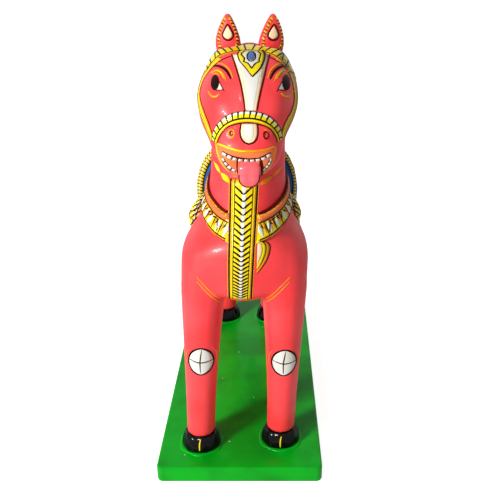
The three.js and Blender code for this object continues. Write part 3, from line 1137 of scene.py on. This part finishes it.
def paint_board():
    """The hooves, the enamel that gathered round them, and specks of paint."""
    wood = Surface(node_copy("plinth_board"))
    box = PaintBox("board", wood, lambda x, y: wood.top(x, y, 1))
    for leg in LEGS:
        middle = paint_hoof(leg)
        circle = oval(middle.x, middle.y, 2 * PUDDLE_RADIUS, 2 * PUDDLE_RADIUS)
        box.green.draw(circle, lambda part: 3 + math.sin(part * 40), 0.6, closed=True, across=4)
    for x, y, size in SPECKS:
        box.cream.draw([(x - size / 2, y), (x + size / 2, y)], petal(size * 0.8), 0.2)
    box.done()


paint_board()


# ---- Saddle and saddle cloth
SADDLE_Z = 168  # height of the middle of the saddle's front arch
ARCH_STRETCH = 1.1  # the arch is this much taller than it is wide
CLOTH_FRONT, CLOTH_REAR, CLOTH_HEM = -52, 50, 122


def arch(wood, radius, y=None):
    """Places along the saddle's arch, from its right foot over to its left foot."""
    places = []
    for turn in curve([(way * 1.9, 0) for way in (-1, -0.5, 0, 0.5, 1)], STEP / radius):
        x, z = math.sin(turn[0]), math.cos(turn[0]) * ARCH_STRETCH
        if y is None:
            start = at(x * radius, -60, SADDLE_Z + z * radius)
            places.append(wood.cast(start, Vector((0, 1, 0))))
        else:
            places.append(wood.cast(at(0, y, SADDLE_Z), Vector((-x, 0, -z))))
    return places


def paint_saddle():
    """The blue saddle with its three striped rims."""
    bm = carved("saddle", 1, 20)
    bmesh.ops.translate(bm, verts=bm.verts, vec=Vector((-0.9, 0, 0)) * MM)
    wood = Surface(bm)
    box = PaintBox("saddle", wood)
    front = arch(wood, 33)
    box.yellow.line(front, 3.6, BAND, across=4)
    box.cream.line(front, 1.2, LINE, 0.2)
    box.ink.line(arch(wood, 31), 0.6, LINE)
    ticks(box.ink, front, 60, -1.6, 1.8, fading(0.9, 0.7), 1, TICK)
    for y, width, edges in ((-34.5, 6.4, ()), (23.5, 6, (-1, 1))):
        rim = arch(wood, 34, y)
        box.yellow.line(rim, width, BAND, across=4)
        box.cream.line(rim, 1.8, LINE)
        ticks(box.ink, rim, 60, -width / 2, width / 2, fading(0.8, 0.6), 0.8, TICK)
        for way in edges:
            box.ink.line(rim, 0.8, LINE, way * (width / 2 + 0.3))
            box.orange.line(rim, 1, BAND, way * (width / 2 + 1.2))
    box.done()
    piece("painted_saddle", bm, BLUE, "blue_enamel", "saddle")


CLOTH_CORNER = 160  # below this height the cloth's front edge slants back
CLOTH_SLANT = Vector((0, -0.75, -0.66))


def cloth_front(z):
    """The front edge of the cloth's slanted corner."""
    return CLOTH_FRONT + 0.88 * (CLOTH_CORNER - z)


def cloth_band():
    """The cloth lies on the back and follows it."""
    bm = skin.copy()
    cut(bm, at(0, CLOTH_FRONT, 0), Vector((0, -1, 0)))
    cut(bm, at(0, CLOTH_REAR, 0), Vector((0, 1, 0)))
    cut(bm, at(0, 0, CLOTH_HEM), Vector((0, 0, -1)))
    cut(bm, at(0, LOW_Y, collar_low(LOW_Y)), -LOW_TILT)
    cut(bm, at(0, CLOTH_FRONT, CLOTH_CORNER), CLOTH_SLANT)
    keep_largest(bm)
    return thickened(bm, 1.9, 0.6)


def paint_cloth():
    """The saddle cloth with its striped hem and rows of small flowers."""
    bm = cloth_band()
    wood = Surface(bm)
    box = PaintBox("cloth", wood, lambda y, z: wood.side(way, y, z))  # way is set below
    middle = (CLOTH_FRONT + CLOTH_REAR) / 2
    half = (CLOTH_REAR - CLOTH_FRONT) / 2 - 3
    for way in (-1, 1):
        corner = CLOTH_HEM + 3
        hem = [(cloth_front(z) + 3.5, z) for z in (162, 150, 138, corner + 4)]
        hem += [(cloth_front(corner) + 7, corner), (middle, corner), (middle + half - 4, corner),
                (middle + half, corner + 4), (middle + half, 145), (middle + half, 162)]
        places = [wood.side(way, *point) for point in curve(hem)]
        box.yellow.line(places, 4.4, FIELD, across=4)
        for offset in (2.4, -2.4):
            box.ink.line(places, 0.6, LINE, offset)
        ticks(box.ink, places, 70, -2.2, 2.2, fading(0.7, 0.6), 0.8)
        for low in range(4):
            for across in range(-4, 5):
                y, z = middle + across * 10 + (low % 2) * 5, 131 + low * 8
                if abs(y - middle) > half - 5 or y < cloth_front(z) + 9:
                    continue
                box.yellow.draw([(y - 2, z), (y + 2, z)], petal(1.6), BAND)
                box.white.draw([(y, z - 2), (y, z + 2)], petal(1.4), LINE)
    box.done()
    piece("painted_saddle_cloth", bm, BLUE, "blue_enamel", "saddle_cloth")


WING_THICKNESS = 3.4
# The inner and the outer edge of each fold, from the top down.
WING_RIGHT = ([(24, 169), (28.5, 162), (31, 155), (33, 148), (35, 141.5)],
              [(27, 170), (34, 163), (39.4, 155), (40, 147.5), (37.4, 140.5)])
WING_LEFT = ([(24, 169), (28, 162), (30, 155), (31, 149), (32, 145)],
             [(27, 170), (33, 163), (36.6, 156), (37, 150.5), (34, 144.5)])


def wing(name, way, inner, outer):
    """A stiff leaf-shaped fold at the cloth's front corner, beside the breast."""
    rows, across = 14, 5
    inner, outer = curve(mirrored(inner, way)), curve(mirrored(outer, way))
    bm = bmesh.new()
    grid = bmesh.ops.create_grid(bm, x_segments=rows, y_segments=across, size=1)
    for vert in grid["verts"]:
        down, out = (vert.co.x + 1) / 2, (vert.co.y + 1) / 2
        x, z = along(inner, down).lerp(along(outer, down), out)
        vert.co = at(x, CLOTH_FRONT + 5 - 1.2 * math.sin(math.pi * out), z)
    bm.normal_update()
    if next(iter(bm.faces)).normal.y > 0:
        bmesh.ops.reverse_faces(bm, faces=bm.faces)
    for vert in doubled(bm):
        vert.co.y += WING_THICKNESS * MM
    smooth(bm, 1)
    wood = Surface(in_order(bm))
    box = PaintBox(name, wood, lambda x, z: wood.cast(at(x, -100, z), Vector((0, 1, 0))))
    for step in range(8):
        part = step / 8
        start, end = along(inner, part), along(outer, min(1, part + 0.24))
        box.ink.draw([start, start.lerp(end, 0.5) + Vector((0, 0.8)), end], tapered(0.8, 0.4))
        start, end = along(inner, part + 0.06), along(outer, min(1, part + 0.3))
        box.white.draw([start, end], petal(0.9, 0.5), BAND)
    for edge in (inner, outer):
        box.ink.draw([along(edge, step / 4) for step in range(5)], 0.7)
    box.done()
    piece(name, bm, YELLOW, "yellow_enamel")


paint_saddle()
paint_cloth()
wing("cloth_fold_right", -1, *WING_RIGHT)
wing("cloth_fold_left", 1, *WING_LEFT)


# ---- Mane and tail
TAIL_Y = 116  # the tail's middle line


def paint_mane():
    """Black locks on both sides of the crest."""
    box = PaintBox("mane", horse)
    crest = curve([(-58, 264), (-50, 260), (-43, 250), (-39, 238), (-40, 222), (-43, 208)])
    for way in (-1, 1):
        for step in range(15):
            y, z = along(crest, (step + 0.5) / 15)
            lock = [(y, z), (y - 6, z - 5), (y - 9, z - 12), (y - 13, z - 15)]
            places = [horse.side(way, *point) for point in curve(lock)]
            box.ink.line(places, petal(3.6, 0.35), LINE, across=4)
            box.maroon.line(places[1:-2], petal(0.8, 0.4), TICK, 0.4)
    box.done()


def paint_tail():
    """The black tail, with grooves of hair that fade out at its root."""
    bm = carved("tail", 1, 14)
    for vert in bm.verts:
        x, y, z = laid_out(vert.co)
        turn = math.atan2(x, y - TAIL_Y)
        wave = math.sin(turn * 11 + z * 0.12)
        vert.co += vert.normal * 0.5 * wave * min(1, (150 - z) / 20) * MM
    piece("painted_tail", bm, BLACK, "black_enamel", "tail")


paint_mane()
paint_tail()
piece("painted_horse", skin, CORAL, "red_enamel", *CARVED)


# ---- Pieces that keep their shape
def finish_node(name, material):
    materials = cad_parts[name].data.materials
    materials.clear()
    materials.append(material)


finish_node("plinth_board", GREEN)
for leg in LEGS:
    finish_node(f"nail_{leg}", STEEL)
for name in ("neck_dowel", "head_dowel", "saddle_peg_front", "saddle_peg_rear"):
    finish_node(name, WOOD)


# ---- Floor, light and camera
LOOKS_DOWN = 23.08  # degrees
ROOM_LIGHT = 0.3  # grey level of the room as a light


def pale_floor():
    """A white floor that stays white round the horse's shadow."""
    bm = bmesh.new()
    bmesh.ops.create_grid(bm, x_segments=1, y_segments=1, size=3)
    floor = add("floor", as_mesh("floor", bm))
    paint = Paint("floor_paper")
    glow = paint.mix(paint.light_path("Is Camera Ray"), grey(0), grey(0.78))
    paint.set(Base_Color=paint.mix(paint.noise(8, 2), grey(0.86), grey(0.9)),
              Roughness=0.9, Emission_Color=glow, Emission_Strength=1)
    floor.data.materials.append(paint.material)


def area_light(name, place, target, size, energy):
    """A round lamp at a place, turned to a target."""
    data = bpy.data.lights.new(name, "AREA")
    data.shape = "DISK"
    data.size = size
    data.energy = energy
    lamp = add(name, data)
    lamp.location = place
    lamp.rotation_euler = (Vector(target) - Vector(place)).to_track_quat("-Z", "Y").to_euler()


def set_camera():
    """A camera in front of the horse, a little above its head and looking down."""
    data = bpy.data.cameras.new("camera")
    data.lens = 46.8
    data.sensor_width = 36
    data.shift_x = -0.0372
    data.clip_start = 0.01
    camera = add("camera", data)
    camera.location = (0.0197, -0.4687, 0.3174)
    camera.rotation_euler = (math.radians(90 - LOOKS_DOWN), 0, 0)
    bpy.context.scene.camera = camera


def set_world():
    """White where the camera and mirror-like reflections look, and dimmer as a light."""
    world = bpy.data.worlds.new("studio")
    nodes = Nodes(world)
    seen = (nodes.light_path("Is Camera Ray") + nodes.light_path("Is Glossy Ray")
            + nodes.light_path("Is Transmission Ray"))
    shade = nodes.mix(seen, grey(ROOM_LIGHT), grey(1))
    nodes.feed(nodes.tree.nodes["Background"].inputs["Color"], shade)
    bpy.context.scene.world = world


pale_floor()
area_light("window", (-0.72, -0.74, 0.58), (0, -0.05, 0.15), 0.26, 16)
area_light("lamp", (-0.2, -0.5, 1), (0, -0.08, 0.2), 0.05, 0.8)
set_camera()
set_world()
bpy.context.scene.view_settings.view_transform = "Standard"
